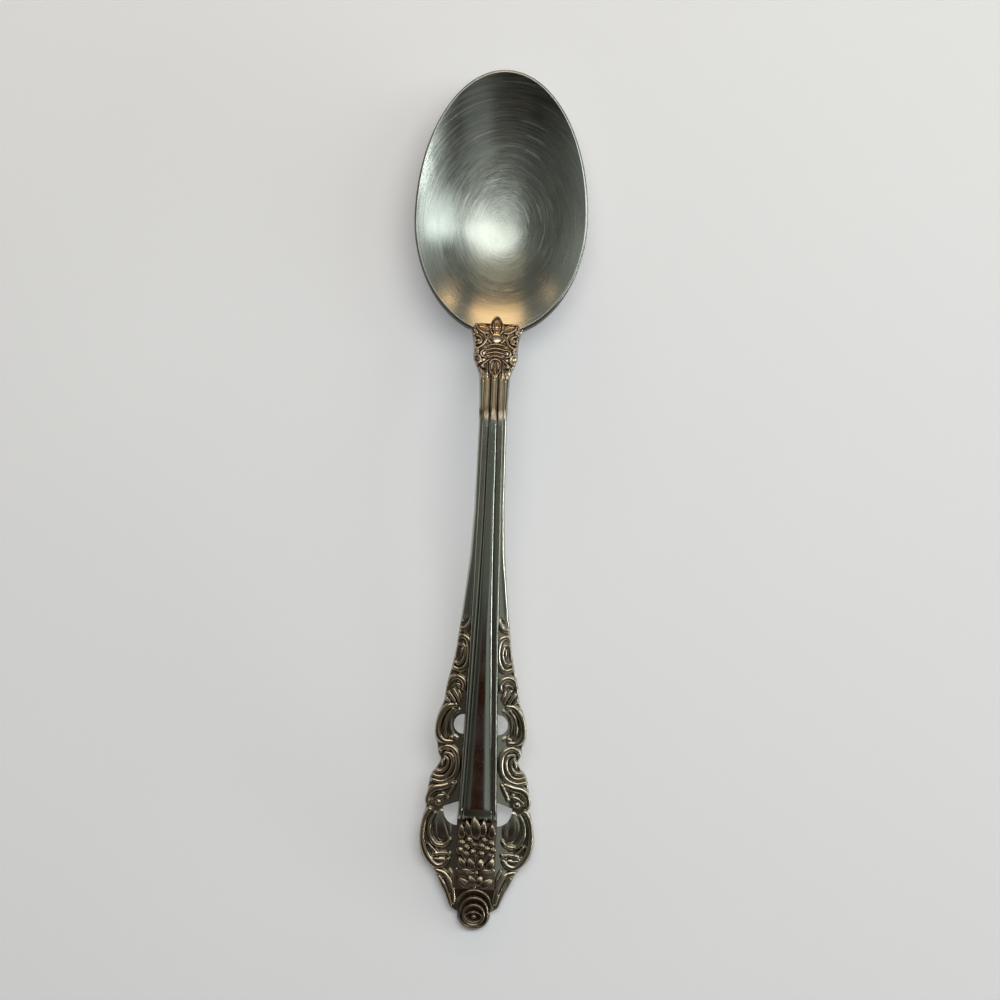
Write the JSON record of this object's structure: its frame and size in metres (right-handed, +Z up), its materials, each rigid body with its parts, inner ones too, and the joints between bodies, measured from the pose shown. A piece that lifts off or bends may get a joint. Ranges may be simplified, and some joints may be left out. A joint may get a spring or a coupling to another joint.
{
  "type": "tablespoon",
  "caption": "Baroque table spoon with an egg-shaped bowl, a leafed neck, a reeded shank and a pierced scrolled handle with a flower spray and a round tip.",
  "frame": {"origin": "on the table under the middle of the spoon's length", "axes": "+Y from the handle's tip to the bowl's tip, +X to the right seen from above with the bowl away, +Z up out of the bowl"},
  "size_m": [0.042, 0.206, 0.0203],
  "materials": {
    "satin_steel": "satin with fine swirl scratches",
    "bright_steel": "polished",
    "dark_steel": "polished with darkened recesses"
  },
  "bodies": {
    "root": {"bowl": "satin_steel", "neck": "bright_steel", "neck_leaves": "dark_steel", "shank": "bright_steel", "right_border": "bright_steel", "left_border": "bright_steel", "right_scrolls": "dark_steel", "left_scrolls": "dark_steel", "spray_plate": "bright_steel", "spray_leaves": "dark_steel", "florets": "dark_steel", "tip": "bright_steel", "tip_rings": "dark_steel"}
  },
  "joints": []
}
